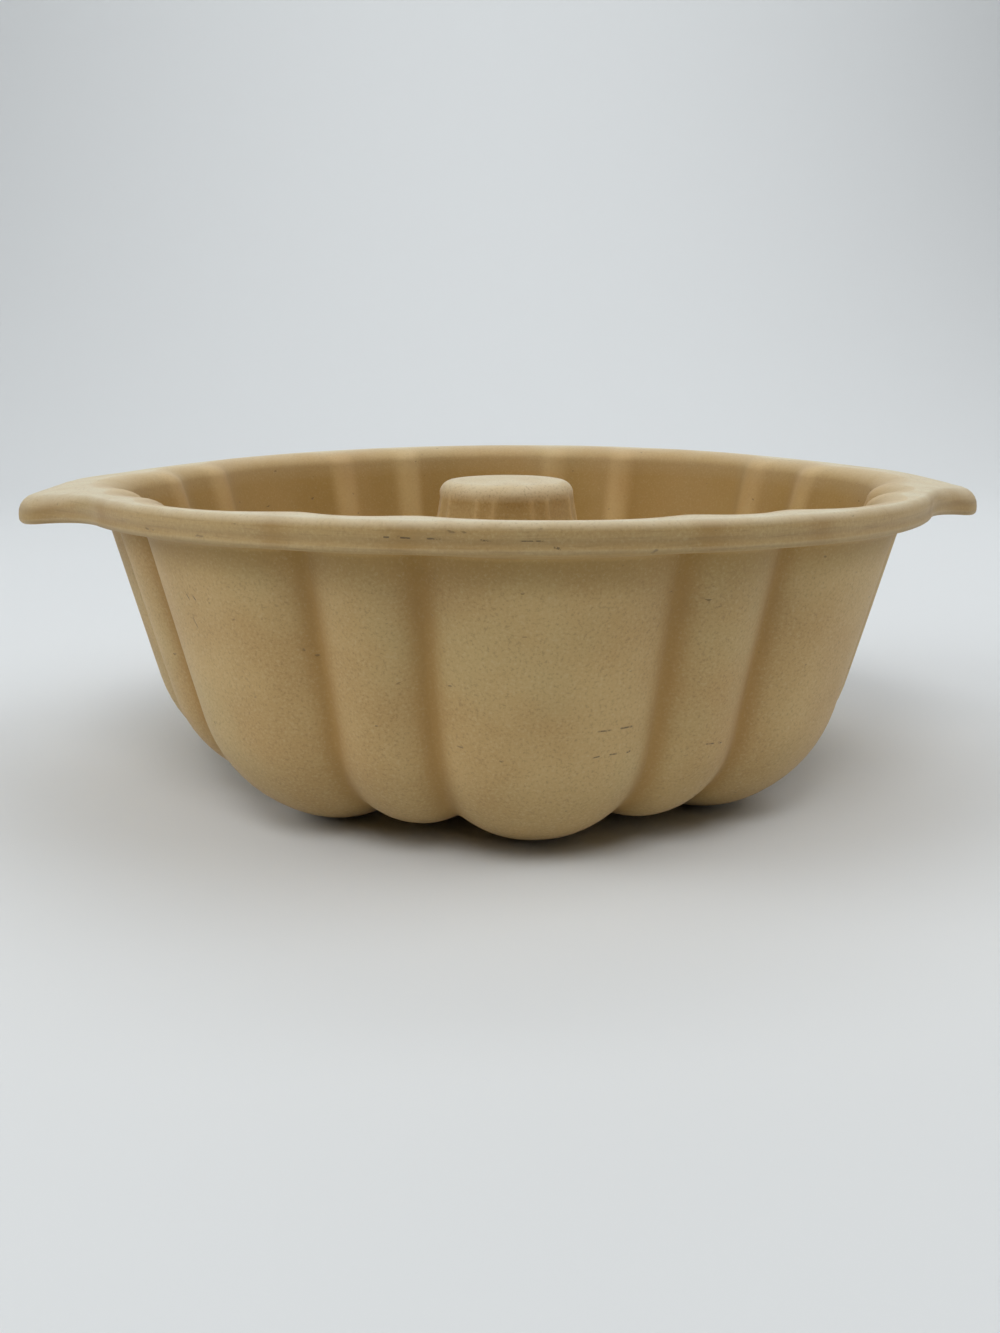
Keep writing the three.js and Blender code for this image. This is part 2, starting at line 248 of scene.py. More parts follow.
rimSizes = {
    "innerWidth": 9.4,       # oval rounding toward the trough
    "innerHeight": 5.5,
    "outerRound": 2.2,
    "lowerRound": 1.5,
    "droop": 2.0,            # lower at the handles than at the front
    "underFall": 0.8,        # underside, from the lip to the wall
    "fillet": 1.8,           # hollow curve between the underside and the wall
    "partingDrop": 5.0,      # line left by the mould's two halves, below the crown
    "partingDepth": 0.3,
    "partingWidth": 1.2,
    "wallStart": 83.0,       # level at which the fillet has ended all round
    # Paleness of the rim: wear, and painted sheen and highlight where it faces the light
    "innerWornAndLit": (0.1, 0.65),   # from the trough up to the crown
    "innerBaked": 0.8,
    "topWornAndLit": 1.0,
    "faceWornAndLit": 0.1,
    # painted highlight on the lower lip
    "lowerLipHighlight": 0.22,
    "rows": {"inner": 8, "top": 6, "outer": 7, "face": 9, "lower": 7, "under": 6, "fillet": 7},
}
handleSizes = {
    "width": 78.0,
    "corner": 20.0,
    "root": 60.0,            # hollow curve between the corner and the rim
    "fall": 1.2,             # its top falls this much toward the tip
    "underFall": 1.9,
    "topRound": 6.0,         # over the tip
    "steps": 40,
}
handleLength = handleReach - rimRadius


# Plan outline of the rim and its handles at every column, with its outward direction
def rimOutline():
    corner, root, steps = handleSizes["corner"], handleSizes["root"], handleSizes["steps"]
    cornerX, cornerY = handleReach - corner, handleSizes["width"] / 2 - corner
    apart, toRoot = math.hypot(cornerX, cornerY), rimRadius + root
    lean = math.acos((toRoot ** 2 + apart ** 2 - (corner + root) ** 2) / (2 * toRoot * apart))
    rootAngle = math.atan2(cornerY, cornerX) + lean
    rootX, rootY = toRoot * math.cos(rootAngle), toRoot * math.sin(rootAngle)
    meet = math.atan2(rootY - cornerY, rootX - cornerX)   # where the corner runs into the hollow curve
    turn = np.linspace(0, meet, steps)
    back = np.linspace(meet + math.pi, rootAngle + math.pi, steps)[1:]
    rest = np.linspace(rootAngle, math.pi / 2, 4 * steps)[1:]
    tipY = np.linspace(0, cornerY, steps)[:-1]
    x = np.concatenate([np.full_like(tipY, handleReach), cornerX + corner * np.cos(turn),
                        rootX + root * np.cos(back), rimRadius * np.cos(rest)])
    y = np.concatenate([tipY, cornerY + corner * np.sin(turn),
                        rootY + root * np.sin(back), rimRadius * np.sin(rest)])
    facingX = np.concatenate([np.ones_like(tipY), np.cos(turn), -np.cos(back), np.cos(rest)])
    facingY = np.concatenate([np.zeros_like(tipY), np.sin(turn), -np.sin(back), np.sin(rest)])
    quarter = np.arctan2(np.abs(outY), np.abs(outX))
    found = [np.interp(quarter, np.arctan2(y, x), values) for values in (x, y, facingX, facingY)]
    sideX, sideY = np.sign(outX), np.sign(outY)
    return found[0] * sideX, found[1] * sideY, found[2] * sideX, found[3] * sideY


# How far along a handle a place in plan is: 0 on the rim and 1 at the tip
def alongHandle(x, y):
    return np.clip((np.hypot(x, y) - rimRadius) / handleLength, 0, 1)


# Height that the rim and handles lose at a place in plan
def rimDrop(x, y, fall):
    return rimSizes["droop"] * (x / rimRadius) ** 2 + fall * alongHandle(x, y)


def rimRows(rows):
    counts, fall = rimSizes["rows"], handleSizes["fall"]
    edgeX, edgeY, facingX, facingY = rimOutline()
    lipWide, lipHigh = rimSizes["innerWidth"], rimSizes["innerHeight"]
    lipZ = rimTop - lipHigh
    lipR = innerRadius(lipZ)
    inside = {"heading": math.pi, "soft": fluteSizes["ridgeRound"]}

    # from the trough up to the crown
    for share in np.linspace(0, 1, counts["inner"]):
        slope = share * math.pi / 2
        r = lipR + lipWide * (1 - math.cos(slope))
        z = lipZ + lipHigh * math.sin(slope) - rimDrop(r * outX, r * outY, fall)
        # paler toward the crown: wear and painted sheen
        rubbed = between(*rimSizes["innerWornAndLit"], share ** 2)
        baked = rimSizes["innerBaked"] * (1 - share ** 2)
        addRing(rows, r, z, depth=fluteSizes["depth"], rubbed=rubbed, baked=baked, **inside)

    # across the top, where the flutes fade
    edgeTop = rimTop - rimDrop(edgeX, edgeY, fall)
    edgeUnder = rimUnder - rimDrop(edgeX, edgeY, handleSizes["underFall"])
    lower = rimSizes["lowerRound"]
    upper = between(rimSizes["outerRound"], handleSizes["topRound"], alongHandle(edgeX, edgeY))
    crownX, crownY = (lipR + lipWide) * outX, (lipR + lipWide) * outY
    topX, topY = edgeX - upper * facingX, edgeY - upper * facingY
    # paleness of the top, the face and the lower lip: wear, painted sheen on the top and a painted highlight
    # on the lip
    topWornAndLit, faceWornAndLit, lowerLipHighlight = rimSizes["topWornAndLit"], rimSizes["faceWornAndLit"], rimSizes["lowerLipHighlight"]
    for share in np.linspace(0, 1, counts["top"] + 2)[1:-1]:
        x, y = between(crownX, topX, share), between(crownY, topY, share)
        depth = fluteSizes["depth"] * (1 - share)
        addRow(rows, x, y, rimTop - rimDrop(x, y, fall), depth=depth, rubbed=topWornAndLit, **inside)

    # down the edge, over the parting line
    partingZ = rimTop - rimSizes["partingDrop"] - rimDrop(edgeX, edgeY, fall / 2)
    partingDepth = rimSizes["partingDepth"] * (1 - alongHandle(edgeX, edgeY))   # wiped away on the handles

    def addEdge(inset, z, rubbed):
        gap = z - partingZ
        inset = inset + partingDepth * np.exp(-((gap / rimSizes["partingWidth"]) ** 2))
        x, y = edgeX - inset * facingX, edgeY - inset * facingY
        addRow(rows, x, y, z, rubbed=rubbed, outside=1.0, gap=gap)

    for share in np.linspace(0, 1, counts["outer"]):
        slope, rubbed = (1 - share) * math.pi / 2, between(topWornAndLit, faceWornAndLit, share)
        addEdge(upper * (1 - math.cos(slope)), edgeTop - upper * (1 - math.sin(slope)), rubbed)
    for share in np.linspace(0, 1, counts["face"] + 2)[1:-1]:
        addEdge(0.0, between(edgeTop - upper, edgeUnder + lower, share), faceWornAndLit)
    # the lower lip is tinted pale: painted highlight
    for share in np.linspace(0, 1, counts["lower"]):
        slope, rubbed = share * math.pi / 2, lowerLipHighlight * (1 - share)
        addEdge(lower * (1 - math.cos(slope)), edgeUnder + lower * (1 - math.sin(slope)), rubbed)

    # underside, which runs in to the hollow curve at the top of the wall
    fillet = rimSizes["fillet"]
    wallTop = rimUnder - rimSizes["underFall"] - rimDrop(rimRadius * outX, rimRadius * outY, 0)
    centreZ = wallTop - fillet
    centreR = outerRadius(centreZ + fillet * math.sin(draft)) + fillet * math.cos(draft)
    pressed = {"heading": math.pi, "soft": fluteSizes["grooveRound"], "outside": 1.0}
    underX, underY = edgeX - lower * facingX, edgeY - lower * facingY
    for share in np.linspace(0, 1, counts["under"] + 2)[1:-1]:
        x, y = between(underX, centreR * outX, share), between(underY, centreR * outY, share)
        z = between(edgeUnder, wallTop, share)
        addRow(rows, x, y, z, depth=fluteSizes["depth"] * share, **pressed)
    for share in np.linspace(0, 1, counts["fillet"]):
        slope = between(math.pi / 2, math.pi - draft, share)
        r, z = centreR + fillet * np.cos(slope), centreZ + fillet * np.sin(slope)
        addRing(rows, r, z, depth=fluteSizes["depth"], **pressed)


# Hollow beneath the tube
def hollowRows(rows):
    lift = bodySizes["wall"] / math.cos(taper)
    hollowTop = tubeTop - bodySizes["wall"]
    roundR, counts = tubeSizes["hollowRound"], tubeSizes["rows"]
    low = tubeFootZ - (tubeRound + bodySizes["wall"]) * math.sin(taper)
    high = hollowTop - roundR * (1 - math.sin(taper))
    for z in np.linspace(low, high, counts["hollow"] + 2)[1:-1]:
        addRing(rows, tubeRadiusAt(z) - lift, z)
    centreR = tubeRadiusAt(high) - lift - roundR * math.cos(taper)
    for share in np.linspace(0, 1, counts["hollowTop"]):
        slope = between(taper, math.pi / 2, share)
        addRing(rows, centreR + roundR * math.cos(slope), hollowTop - roundR * (1 - math.sin(slope)))
    return hollowTop


# Whole skin of the blank, from the middle of the tube's top round to the middle of the hollow beneath it
def turnBlank():
    rows, counts, baked = [], bodySizes["rows"], bodySizes["baked"]
    wall, foot = bodySizes["wall"], bodySizes["footRound"]
    ridge, groove = fluteSizes["ridgeRound"], fluteSizes["grooveRound"]
    tubeRows(rows)
    panel = tubeSizes["panelDepth"]
    tubeFootRows(rows, tubeRound, ridge, panel, counts["tubeFoot"], upward=False, baked=baked["tubeFoot"])
    footRows(rows, foot - wall, ridge, counts["foot"], upward=True, baked=baked["floor"])
    innerEnd = footZ - (foot - wall) * math.sin(draft)
    innerTop = rimTop - rimSizes["innerHeight"] - rimSizes["droop"]
    wallRows(rows, innerRadius, innerEnd, innerTop, ridge, upward=True, baked=baked["wall"])
    rimRows(rows)
    wallRows(rows, outerRadius, wallEnd, rimSizes["wallStart"], groove, upward=False, outside=1.0)
    footRows(rows, foot, groove, counts["foot"], upward=False, outside=1.0)
    tubeFootRows(rows, tubeRound + wall, groove, 0.0, counts["under"], upward=True, outside=1.0)
    hollowTop = hollowRows(rows)

    stack = {key: np.stack([row[key] for row in rows]) for key in rows[0]}
    rowCount, columnCount = stack["x"].shape
    points = np.stack([stack["x"], stack["y"], stack["z"]], axis=-1).reshape(-1, 3)
    points = np.concatenate([[[0, 0, tubeTop]], points, [[0, 0, hollowTop]]]) * mm
    ring = np.arange(rowCount * columnCount).reshape(rowCount, columnCount) + 1
    beside = np.roll(ring, -1, axis=1)
    quads = np.stack([ring[:-1], ring[1:], beside[1:], beside[:-1]], axis=-1).reshape(-1, 4)
    first, last = 0, len(points) - 1
    faces = quads.tolist()
    faces += [(first, a, b) for a, b in zip(ring[0].tolist(), beside[0].tolist())]
    faces += [(last, b, a) for a, b in zip(ring[-1].tolist(), beside[-1].tolist())]
    mesh = bpy.data.meshes.new("turnedBlank")
    mesh.from_pydata(points.tolist(), [], faces)
    for key in plainRow:
        values = np.concatenate([stack[key][0, :1], stack[key].ravel(), stack[key][-1, :1]])
        mesh.attributes.new(key, "FLOAT", "POINT").data.foreach_set("value", values.astype(np.float32))
    print("blank turned:", rowCount, "rows of", columnCount, "columns")
    return mesh


# Adds one node with its settings. Inputs are values or sockets, in order or by key; one output comes back
def addNode(tree, kind, inputs=(), out=0, **settings):
    node = tree.nodes.new(kind)
    for name, value in settings.items():
        setattr(node, name, value)
    for key, value in inputs.items() if isinstance(inputs, dict) else enumerate(inputs):
        if isinstance(value, bpy.types.NodeSocket):
            tree.links.new(value, node.inputs[key])
        else:
            node.inputs[key].default_value = value
    return node.outputs[out] if node.outputs else None


pressSizes = {
    "Flute Count": fluteSizes["count"],
    "Wide Share": fluteSizes["wideShare"],
    "Foot Wide Share": fluteSizes["footWideShare"],
    "Wide Fullness": fluteSizes["wideFullness"],
    "Foot Wide Fullness": fluteSizes["footWideFullness"],
    "Narrow Fullness": fluteSizes["narrowFullness"],
    "Narrow Inset": fluteSizes["narrowInset"] / fluteSizes["depth"],
    "Foot Narrow Inset": fluteSizes["narrowFootLift"] / fluteSizes["footDepth"],
    "Hand Wobble": 0.25 * mm,    # how far sponging and drying leave the skin from true
    "Wobble Size": 28 * mm,
    "Wobble Seed": 4.0,
    "Firing Twist": 0.5 * mm,    # how far the rim warped up and down, on its diagonals
    "Twist Height": rimTop * mm,
    "Twist Reach": rimRadius * mm,
}


# Presses the flutes into the blank, leaves the skin slightly uneven and stands it flat
def pressFlutesTree():
    tree = bpy.data.node_groups.new("pressFlutes", "GeometryNodeTree")
    tree.is_modifier = True
    tree.interface.new_socket("Blank", in_out="INPUT", socket_type="NodeSocketGeometry")
    for name in pressSizes:
        tree.interface.new_socket(name, in_out="INPUT", socket_type="NodeSocketFloat")
    tree.interface.new_socket("Clay", in_out="INPUT", socket_type="NodeSocketMaterial")
    tree.interface.new_socket("Pan", in_out="OUTPUT", socket_type="NodeSocketGeometry")
    given = addNode(tree, "NodeGroupInput").node.outputs
    marks = {}
    for name in ("heading", "depth", "low", "soft"):
        marks[name] = addNode(tree, "GeometryNodeInputNamedAttribute", (name,), data_type="FLOAT")

    # sizes of the flutes at this height
    wideShare = addNode(tree, "ShaderNodeMix",
                        {0: marks["low"], 2: given["Wide Share"], 3: given["Foot Wide Share"]})
    fullness = addNode(tree, "ShaderNodeMix",
                       {0: marks["low"], 2: given["Wide Fullness"], 3: given["Foot Wide Fullness"]})
    inset = addNode(tree, "ShaderNodeMix",
                    {0: marks["low"], 2: given["Narrow Inset"], 3: given["Foot Narrow Inset"]})

    # angle from the middle of the nearest wide flute
    place = addNode(tree, "GeometryNodeInputPosition")
    axes = addNode(tree, "ShaderNodeSeparateXYZ", (place,)).node.outputs
    forward = addNode(tree, "ShaderNodeMath", (axes[1], -1.0), operation="MULTIPLY")
    angle = addNode(tree, "ShaderNodeMath", (axes[0], forward), operation="ARCTAN2")
    half = addNode(tree, "ShaderNodeMath", (math.pi, given["Flute Count"]), operation="DIVIDE")
    away = addNode(tree, "ShaderNodeMath", (angle, half), operation="PINGPONG")
    pair = addNode(tree, "ShaderNodeMath", (half, 2.0), operation="MULTIPLY")
    wide = addNode(tree, "ShaderNodeMath", (pair, wideShare), operation="MULTIPLY")

    # the skin falls away from each crest by a power, and two falls meet in a softened groove
    fromWide = addNode(tree, "ShaderNodeMath", (away, wide), operation="DIVIDE")
    wideFall = addNode(tree, "ShaderNodeMath", (fromWide, fullness), operation="POWER")
    narrowHalf = addNode(tree, "ShaderNodeMath", (half, wide), operation="SUBTRACT")
    narrowAway = addNode(tree, "ShaderNodeMath", (half, away), operation="SUBTRACT")
    fromNarrow = addNode(tree, "ShaderNodeMath", (narrowAway, narrowHalf), operation="DIVIDE")
    narrowRise = addNode(tree, "ShaderNodeMath", (fromNarrow, given["Narrow Fullness"]), operation="POWER")
    rest = addNode(tree, "ShaderNodeMath", (1.0, inset), operation="SUBTRACT")
    narrowFall = addNode(tree, "ShaderNodeMath", (narrowRise, rest, inset), operation="MULTIPLY_ADD")
    pressed = addNode(tree, "ShaderNodeMath", (wideFall, narrowFall, marks["soft"]), operation="SMOOTH_MIN")

    # each row is pressed its own way
    depth = addNode(tree, "ShaderNodeMath", (marks["depth"], mm), operation="MULTIPLY")
    travel = addNode(tree, "ShaderNodeMath", (depth, pressed), operation="MULTIPLY")
    flat = addNode(tree, "ShaderNodeCombineXYZ", (axes[0], axes[1]))
    outward = addNode(tree, "ShaderNodeVectorMath", (flat,), operation="NORMALIZE")
    levelShare = addNode(tree, "ShaderNodeMath", (marks["heading"],), operation="COSINE")
    riseShare = addNode(tree, "ShaderNodeMath", (marks["heading"],), operation="SINE")
    sideways = addNode(tree, "ShaderNodeVectorMath", {0: outward, "Scale": levelShare}, operation="SCALE")
    upward = addNode(tree, "ShaderNodeCombineXYZ", {2: riseShare})
    way = addNode(tree, "ShaderNodeVectorMath", (sideways, upward), operation="ADD")
    move = addNode(tree, "ShaderNodeVectorMath", {0: way, "Scale": travel}, operation="SCALE")
    kept = addNode(tree, "GeometryNodeStoreNamedAttribute",
                   {"Geometry": given["Blank"], "Name": "pressed", "Value": pressed}, data_type="FLOAT")
    fluted = addNode(tree, "GeometryNodeSetPosition", {"Geometry": kept, "Offset": move})

    # hand finishing leaves the skin uneven, always inward, so it stays within the solids
    spread = addNode(tree, "ShaderNodeMath", (1.0, given["Wobble Size"]), operation="DIVIDE")
    noise = addNode(tree, "ShaderNodeTexNoise",
                    {"Vector": place, "W": given["Wobble Seed"], "Scale": spread}, noise_dimensions="4D")
    wobble = addNode(tree, "ShaderNodeMath", (noise, given["Hand Wobble"]), operation="MULTIPLY")
    inward = addNode(tree, "ShaderNodeMath", (wobble, -1.0), operation="MULTIPLY")
    normal = addNode(tree, "GeometryNodeInputNormal")
    shift = addNode(tree, "ShaderNodeVectorMath", {0: normal, "Scale": inward}, operation="SCALE")
    uneven = addNode(tree, "GeometryNodeSetPosition", {"Geometry": fluted, "Offset": shift})

    # the rim twisted in the kiln: up at the front left and back right, down at the others
    twice = addNode(tree, "ShaderNodeMath", (angle, -2.0), operation="MULTIPLY")
    saddle = addNode(tree, "ShaderNodeMath", (twice,), operation="SINE")
    twist = addNode(tree, "ShaderNodeMath", (saddle, given["Firing Twist"]), operation="MULTIPLY")
    rise = addNode(tree, "ShaderNodeMath", (axes[2], given["Twist Height"]), operation="DIVIDE")
    reach = addNode(tree, "ShaderNodeVectorMath", (flat,), out="Value", operation="LENGTH")
    reach = addNode(tree, "ShaderNodeMath", (reach, given["Twist Reach"]), operation="DIVIDE")
    lever = addNode(tree, "ShaderNodeMath", (rise, reach), operation="MULTIPLY")
    risen = addNode(tree, "ShaderNodeMath", (lever, 2.0), operation="POWER")
    level = addNode(tree, "ShaderNodeMath", (twist, risen, axes[2]), operation="MULTIPLY_ADD")
    level = addNode(tree, "ShaderNodeMath", (level, 0.0), operation="MAXIMUM")
    onFloor = addNode(tree, "ShaderNodeCombineXYZ", (axes[0], axes[1], level))
    standing = addNode(tree, "GeometryNodeSetPosition", {"Geometry": uneven, "Position": onFloor})
    smooth = addNode(tree, "GeometryNodeSetShadeSmooth", (standing,))
    real = addNode(tree, "GeometryNodeRealizeInstances", (smooth,))
    fired = addNode(tree, "GeometryNodeSetMaterial", {"Geometry": real, "Material": given["Clay"]})
    addNode(tree, "NodeGroupOutput", (fired,))
    return tree


def pressPan(blank, clay):
    tree = pressFlutesTree()
    rough = bpy.data.objects.new("panBlank", blank)
    bpy.context.scene.collection.objects.link(rough)
    press = rough.modifiers.new("pressFlutes", "NODES")
    press.node_group = tree
    sockets = {item.name: item.identifier for item in tree.interface.items_tree if item.in_out == "INPUT"}
    for name, value in pressSizes.items():
        press[sockets[name]] = float(value)
    press[sockets["Clay"]] = clay
    graph = bpy.context.evaluated_depsgraph_get()
    mesh = bpy.data.meshes.new_from_object(rough.evaluated_get(graph), depsgraph=graph)
    bpy.data.objects.remove(rough)
    pan = bpy.data.objects.new("stonewarePan", mesh)
    bpy.context.scene.collection.objects.link(pan)
    print("flutes pressed:", len(mesh.polygons), "faces")
    return pan


def hexColour(code):
    parts = [int(code[i:i + 2], 16) / 255 for i in (1, 3, 5)]
    linear = [c / 12.92 if c <= 0.04045 else ((c + 0.055) / 1.055) ** 2.4 for c in parts]
    return (*linear, 1.0)


clayLook = {
    "colours": {
        "buff": "#cfae72",
        "deep": "#c39e61",       # where the body fired a little darker
        "olive": "#c8ad73",
        "groove": "#ad8239",     # painted shade in the outside grooves
        "pale": "#e2dabf",       # rubbed edges, and painted sheen on the tops
        "baked": "#9c782d",      # oil and baking inside the trough; also the colour of the painted shade under the rim and toward the foot
        "grog": "#86683c",       # dark grains of fired clay in the body
        "grit": "#d6c494",       # pale sand
        "scuff": "#4b3a22",      # metal marks
    },
    "sizes": {                   # millimetres
        "tone": 34.0,
        "rub": 9.0,
        "grain": 0.8,
        "grainDepth": 0.05,
        "pit": 1.7,
        "pitDepth": 0.12,
        "streak": 0.7,
        "crease": (13.0, 1.0),       # below the rim, from where its painted shade starts to where it is darkest
        "edge": 2.0,                 # up the rim's edge, over which that painted shade thins
        "foot": (34.0, 6.0),         # heights between which the painted shade at the foot deepens
        "streakReach": (4.5, 3.0),   # from the parting line, where the streaks end
        "dustReach": (1.5, 0.1),
    },
    "drawn": {"pit": 0.45, "streak": 0.06},   # the lower, the longer it runs round the pan
    "shares": {                  # how far a tint covers the body where it is strongest
        "olive": 0.6,
        "groove": 0.9,
        "baked": (0.7, 1.0),         # thin and thick patches
        "bakedRidge": 0.3,           # what is left of it on the ridges, so that they read lighter: painted highlight
        "crease": 0.7,
        "edge": 0.66,                # what is left of the crease's painted shade on the rim's edge
        "foot": 0.5,
        "rub": (0.66, 0.92),
        "grain": 0.36,
        "coveredGrain": 0.1,         # under the painted shade and the baking
        "pit": 0.45,
        "streak": 0.22,
        "dust": 0.24,
        "scuff": 0.75,
    },
    "levels": {                  # between which values of its noise or mark a tint sets in
        "buff": (0.36, 0.64),
        "olive": (0.45, 0.7),
        "groove": (0.5, 1.0),
        "baked": (0.3, 0.75),
        "bakedRidge": (0.5, 0.78),
        "rub": (0.25, 0.7),
        "grit": (0.5, 0.74),
        "grog": (0.5, 0.26),
        "pit": (0.75, 0.82),
        "streak": (0.5, 0.72),
        "scuff": (0.36, 0.5),
    },
    "skin": {
        "Roughness": 0.62,
        "IOR": 1.5,
        "Specular IOR Level": 0.5,
        "Sheen Weight": 0.12,        # dry dust on bare clay
        "Sheen Roughness": 0.6,
    },
}

# Hairline scratches and nicks: degrees round from the front, height, length and width in millimetres,
# and tilt in degrees
scuffs = (
    (6.75, 41.3, 4.2, 0.30, 0.0),
    (9.85, 41.35, 4.2, 0.36, 0.0),
    (5.95, 34.1, 2.2, 0.26, -8.0),
    (8.35, 34.3, 2.6, 0.30, 0.0),
    (10.7, 34.1, 1.4, 0.36, -12.0),
    (23.2, 33.2, 3.3, 0.30, 6.0),
    (25.2, 32.7, 1.6, 0.30, 6.0),
    (-47.2, 71.1, 1.3, 0.50, 60.0),
    (-45.85, 70.9, 1.1, 0.50, 50.0),
    (-47.15, 63.9, 1.2, 0.60, 70.0),
    (-0.55, 89.4, 1.8, 0.40, 16.0),
    (-17.2, 91.5, 1.6, 0.30, 0.0),
    (-15.3, 91.45, 2.8, 0.30, 3.0),
    (-12.5, 91.4, 3.6, 0.30, 0.0),
    (-7.4, 91.1, 3.0, 0.30, 5.0),
    (-3.0, 91.0, 6.0, 0.22, 0.0),
)


# Unglazed stoneware, pressed in a mould and fired bare: a dull, dry buff with fine sand and grog in it,
# paler where it is rubbed and browner where it has been baked in, with painted sheen on its tops and edges
# and painted shade in its grooves, under the rim and toward the foot
def unglazedStoneware():
    clay = bpy.data.materials.new("unglazedStonewarePressed")
    clay.use_nodes = True
    tree = clay.node_tree
    tree.nodes.clear()
    colour = {name: hexColour(code) for name, code in clayLook["colours"].items()}
    sizes, shares, levels = clayLook["sizes"], clayLook["shares"], clayLook["levels"]
    soft = {"interpolation_type": "SMOOTHSTEP"}
    tint = {"data_type": "RGBA", "out": 2}

    place = addNode(tree, "ShaderNodeTexCoord", out="Object")
    marks = {}
    for name in ("pressed", "rubbed", "baked", "outside", "gap"):
        marks[name] = addNode(tree, "ShaderNodeAttribute", out="Fac", attribute_name=name)
    axes = addNode(tree, "ShaderNodeSeparateXYZ", (place,)).node.outputs
    forward = addNode(tree, "ShaderNodeMath", (axes[1], -1.0), operation="MULTIPLY")
    angle = addNode(tree, "ShaderNodeMath", (axes[0], forward), operation="ARCTAN2")
    flat = addNode(tree, "ShaderNodeCombineXYZ", (axes[0], axes[1]))
    radius = addNode(tree, "ShaderNodeVectorMath", (flat,), out="Value", operation="LENGTH")
    along = addNode(tree, "ShaderNodeMath", (angle, rimRadius * mm), operation="MULTIPLY")

    # slow changes of tone
    tone = addNode(tree, "ShaderNodeTexNoise",
                   {"Vector": place, "Scale": 1 / (sizes["tone"] * mm), "Detail": 4.0}).node.outputs
    fired = addNode(tree, "ShaderNodeMapRange", (tone[0], *levels["buff"]), **soft)
    body = addNode(tree, "ShaderNodeMix", {0: fired, 6: colour["deep"], 7: colour["buff"]}, **tint)
    hue = addNode(tree, "ShaderNodeSeparateColor", (tone[1],), out=1)
    oliveShare = addNode(tree, "ShaderNodeMapRange", (hue, *levels["olive"], 0.0, shares["olive"]), **soft)
    body = addNode(tree, "ShaderNodeMix", {0: oliveShare, 6: body, 7: colour["olive"]}, **tint)

    # painted shade in the grooves outside; oil baked in inside, kept off the ridges so that they read
    # lighter, a painted highlight
    hollow = addNode(tree, "ShaderNodeMapRange",
                     (marks["pressed"], *levels["groove"], 0.0, shares["groove"]), **soft)
    grooveShadeShare = addNode(tree, "ShaderNodeMath", (hollow, marks["outside"]), operation="MULTIPLY")
    body = addNode(tree, "ShaderNodeMix", {0: grooveShadeShare, 6: body, 7: colour["groove"]}, **tint)
    patchy = addNode(tree, "ShaderNodeMapRange", (tone[0], *levels["baked"], *shares["baked"]), **soft)
    bakedShare = addNode(tree, "ShaderNodeMath", (patchy, marks["baked"]), operation="MULTIPLY")
    # painted highlight: less browning on the ridges, inside and on the tube, so they read lit
    litRidgeCut = addNode(tree, "ShaderNodeMapRange",
                       (marks["pressed"], *levels["bakedRidge"], 1.0, shares["bakedRidge"]), **soft)
    bakedShare = addNode(tree, "ShaderNodeMath", (bakedShare, litRidgeCut), operation="MULTIPLY")
    body = addNode(tree, "ShaderNodeMix", {0: bakedShare, 6: body, 7: colour["baked"]}, **tint)

    # painted shade along the crease under the rim, thinner on the rim's edge
    creaseLow, creaseHigh = [(rimUnder - below) * mm for below in sizes["crease"]]
    creaseShade = addNode(tree, "ShaderNodeMapRange",
                    (axes[2], creaseLow, creaseHigh, 0.0, shares["crease"]), **soft)
    edgeLow, edgeHigh = rimUnder * mm, (rimUnder + sizes["edge"]) * mm
    thinner = addNode(tree, "ShaderNodeMapRange", (axes[2], edgeLow, edgeHigh, 1.0, shares["edge"]), **soft)
    creaseShade = addNode(tree, "ShaderNodeMath", (creaseShade, thinner), operation="MULTIPLY")
    creaseShade = addNode(tree, "ShaderNodeMath", (creaseShade, marks["outside"]), operation="MULTIPLY")
    body = addNode(tree, "ShaderNodeMix", {0: creaseShade, 6: body, 7: colour["baked"]}, **tint)

    # painted shade: darker and warmer toward the foot, near the floor
    footHigh, footLow = [height * mm for height in sizes["foot"]]
    footShade = addNode(tree, "ShaderNodeMapRange", (axes[2], footHigh, footLow, 0.0, shares["foot"]), **soft)
    footShade = addNode(tree, "ShaderNodeMath", (footShade, marks["outside"]), operation="MULTIPLY")
    body = addNode(tree, "ShaderNodeMix", {0: footShade, 6: body, 7: colour["baked"]}, **tint)

    # paler where cloths and hands rub, and painted sheen and highlight on the tops and edges that the light
    # falls on
    rub = addNode(tree, "ShaderNodeTexNoise",
                  {"Vector": place, "Scale": 1 / (sizes["rub"] * mm), "Detail": 4.0})
    wornAndLitShare = addNode(tree, "ShaderNodeMapRange", (rub, *levels["rub"], *shares["rub"]), **soft)
    wornAndLitShare = addNode(tree, "ShaderNodeMath", (wornAndLitShare, marks["rubbed"]), operation="MULTIPLY")
    body = addNode(tree, "ShaderNodeMix", {0: wornAndLitShare, 6: body, 7: colour["pale"]}, **tint)

    # sand and grog are finer than the picture can show, so both are drawn at about twice their size
    fine = addNode(tree, "ShaderNodeTexNoise",
                   {"Vector": place, "Scale": 1 / (sizes["grain"] * mm), "Roughness": 0.7})
    bare = addNode(tree, "ShaderNodeMapRange",
                   (marks["baked"], 0.0, 1.0, shares["grain"], shares["coveredGrain"]))
